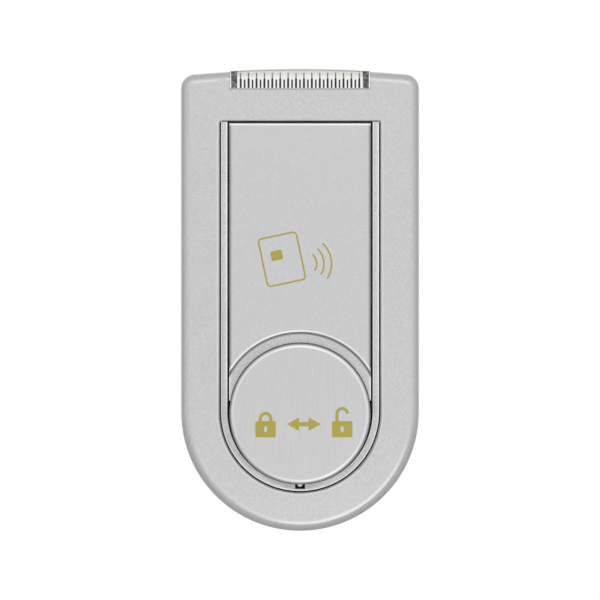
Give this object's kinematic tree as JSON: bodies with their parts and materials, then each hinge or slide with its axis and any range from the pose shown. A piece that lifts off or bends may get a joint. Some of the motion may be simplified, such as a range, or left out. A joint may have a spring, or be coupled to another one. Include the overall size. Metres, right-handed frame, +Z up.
{
  "type": "electronic cabinet lock",
  "caption": "Card-operated electronic cabinet lock with a round knob, a light bar and a cam latch behind the door.",
  "frame": {"origin": "on the knob's axis, at the face of the door, which is the gasket's back face", "axes": "+Z up along the housing, +X to the user's right, +Y into the door"},
  "size_m": [0.0738, 0.0595, 0.1428],
  "materials": {
    "silver_paint": "satin silver paint with a fine sparkle",
    "cover_paint": "silver paint over a moulded cover",
    "trim_grey": "fine texture",
    "clear_plastic": "clear, ribbed",
    "knob_black": "moulded",
    "board_green": "solder mask",
    "chip_black": "moulded",
    "part_white": "moulded",
    "led_white": "clear lens",
    "coil_copper": "enamelled wire",
    "zinc_steel": "zinc plated",
    "barrel_nickel": "nickel plated",
    "cast_zinc": "bare casting",
    "insert_brass": "turned",
    "gear_brass": "machined",
    "seal_rubber": "closed-cell foam",
    "tray_black": "moulded",
    "cell_wrap": "printed sleeve",
    "spring_nickel": "nickel plated",
    "guide_nylon": "moulded"
  },
  "bodies": {
    "lock_body": {"front_housing": "silver_paint", "window_trim": "trim_grey", "reader_cover": "cover_paint", "light_guide": "clear_plastic", "cover_screws": "zinc_steel", "antenna_coil": "coil_copper", "control_board": "board_green", "board_chips": "chip_black", "board_parts": "part_white", "status_leds": "led_white", "buzzer": "chip_black", "board_screws": "zinc_steel", "battery_tray": "tray_black", "battery_springs": "spring_nickel", "contact_plates": "spring_nickel", "motor_can": "zinc_steel", "gearbox": "gear_brass", "motor_clamp": "zinc_steel", "clamp_screws": "zinc_steel", "blocker_guide": "guide_nylon", "guide_screws": "zinc_steel", "base_plate": "cast_zinc", "fixing_inserts": "insert_brass", "gasket": "seal_rubber", "base_screws": "zinc_steel", "barrel": "barrel_nickel", "barrel_screws": "zinc_steel", "thrust_washer": "spring_nickel", "barrel_nut": "barrel_nickel", "battery_cell_1": "cell_wrap", "battery_cell_2": "cell_wrap", "battery_cell_3": "cell_wrap", "battery_cell_4": "cell_wrap"},
    "knob": {"rotor": "cast_zinc", "spindle": "zinc_steel", "knob_body": "knob_black", "knob_cap": "silver_paint", "knob_screw": "zinc_steel", "cam": "zinc_steel", "cam_washer": "zinc_steel", "cam_screw": "zinc_steel"},
    "blocker": {"blocker": "zinc_steel"},
    "pinion": {"drive_pinion": "gear_brass", "output_shaft": "zinc_steel"}
  },
  "joints": [
    {"name": "knob_turn", "type": "hinge", "parent": "lock_body", "child": "knob", "pos_m": [0, 0, 0], "axis": [0, 1, 0], "range_deg": [0, 90]},
    {"name": "blocker_slide", "type": "slide", "parent": "lock_body", "child": "blocker", "axis": [0, 0, -1], "range_m": [0, 0.0032]},
    {"name": "pinion_spin", "type": "hinge", "parent": "lock_body", "child": "pinion", "pos_m": [0, -0.0109, 0.0249], "axis": [-1, 0, 0], "range_deg": [0, 73.5]}
  ],
  "couplings": [
    {"joint": "pinion_spin", "follows": "blocker_slide", "rad_per_m": 400}
  ]
}
